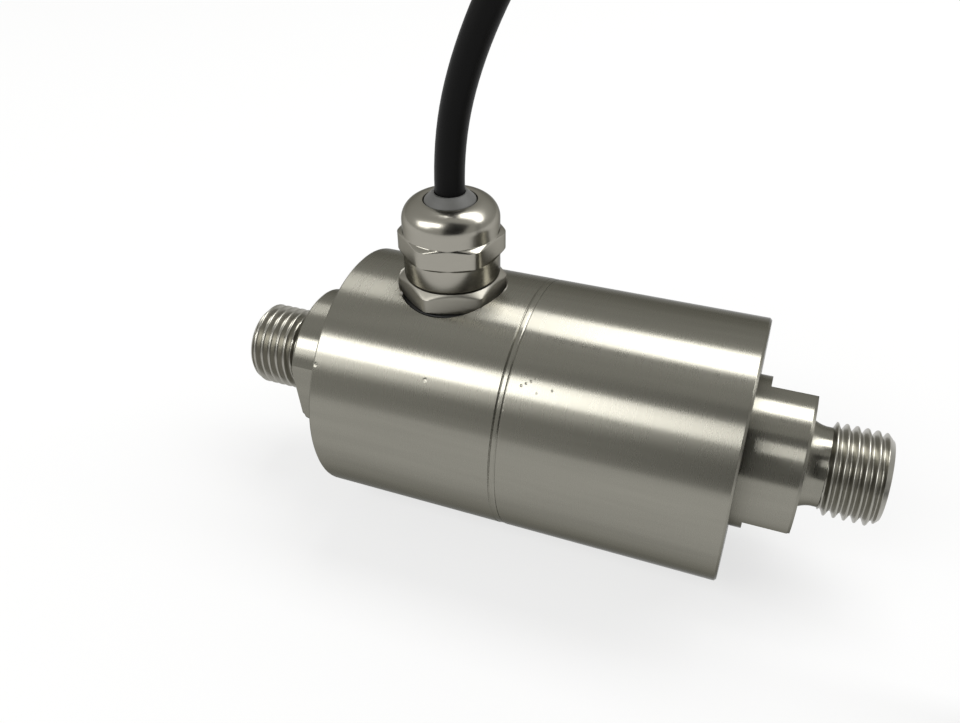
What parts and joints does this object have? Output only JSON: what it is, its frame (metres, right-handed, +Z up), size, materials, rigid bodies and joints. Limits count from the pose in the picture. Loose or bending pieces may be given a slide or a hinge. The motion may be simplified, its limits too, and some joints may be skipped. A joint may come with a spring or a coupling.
{
  "type": "differential pressure sensor",
  "caption": "In-line differential pressure sensor: round turned steel body with a male pipe thread on each end, a metal cable gland on its side and a black cable with a stripped end.",
  "frame": {"origin": "on the ground under the middle of the round body, which lies on its side", "axes": "+X along the body's axis towards the high side port, +Z up along the cable gland"},
  "size_m": [0.2601, 0.0388, 0.1044],
  "materials": {
    "stainless_body": "satin turned stainless steel",
    "cell_steel": "fine turned stainless steel",
    "diaphragm_foil": "bright rolled foil",
    "steel_balls": "polished",
    "nickel_brass": "bright nickel plating on brass",
    "gold_pins": "gold plated",
    "grey_seal": "matt",
    "black_gasket": "matt",
    "o_ring_rubber": "matt",
    "claw_nylon": "moulded",
    "cable_sheath": "satin extruded",
    "shrink_sleeve": "matt",
    "tie_nylon": "moulded",
    "bead_glass": "fused",
    "pedestal_glass": "ground",
    "silicon": "polished",
    "board_laminate": "lacquered",
    "chip_plastic": "moulded",
    "capacitor_ceramic": "fired",
    "carrier_plastic": "moulded",
    "screw_steel": "zinc plated",
    "tinned_copper": "tinned",
    "red_insulation": "extruded",
    "black_insulation": "extruded",
    "green_insulation": "extruded",
    "white_insulation": "extruded"
  },
  "bodies": {
    "root": {"housing_low_side": "stainless_body", "housing_high_side": "stainless_body", "port_low": "stainless_body", "port_high": "stainless_body", "cell_body": "cell_steel", "fill_balls": "steel_balls", "cell_header": "cell_steel", "header_glass_beads": "bead_glass", "header_pins": "gold_pins", "die_pedestal": "pedestal_glass", "sensor_die": "silicon", "diaphragm_low": "diaphragm_foil", "diaphragm_high": "diaphragm_foil", "diaphragm_ring_low": "cell_steel", "diaphragm_ring_high": "cell_steel", "cell_o_ring_low": "o_ring_rubber", "cell_o_ring_high": "o_ring_rubber", "board_carrier": "carrier_plastic", "amplifier_board": "board_laminate", "board_screws": "screw_steel", "converter_chip": "chip_plastic", "amplifier_chip": "chip_plastic", "board_capacitors": "capacitor_ceramic", "gland_body": "nickel_brass", "gland_nut": "nickel_brass", "gland_gasket": "black_gasket", "gland_claw": "claw_nylon", "gland_seal": "grey_seal", "cable_entry": "cable_sheath", "conductor_red": "red_insulation", "conductor_black": "black_insulation", "conductor_green": "green_insulation", "conductor_white": "white_insulation", "cable_tail": "cable_sheath", "cable_hank": "cable_sheath", "cable_end": "cable_sheath", "hank_ties": "tie_nylon", "end_sleeve": "shrink_sleeve", "lead_red": "red_insulation", "lead_black": "black_insulation", "lead_green": "green_insulation", "lead_white": "white_insulation", "lead_ferrules": "tinned_copper"}
  },
  "joints": []
}
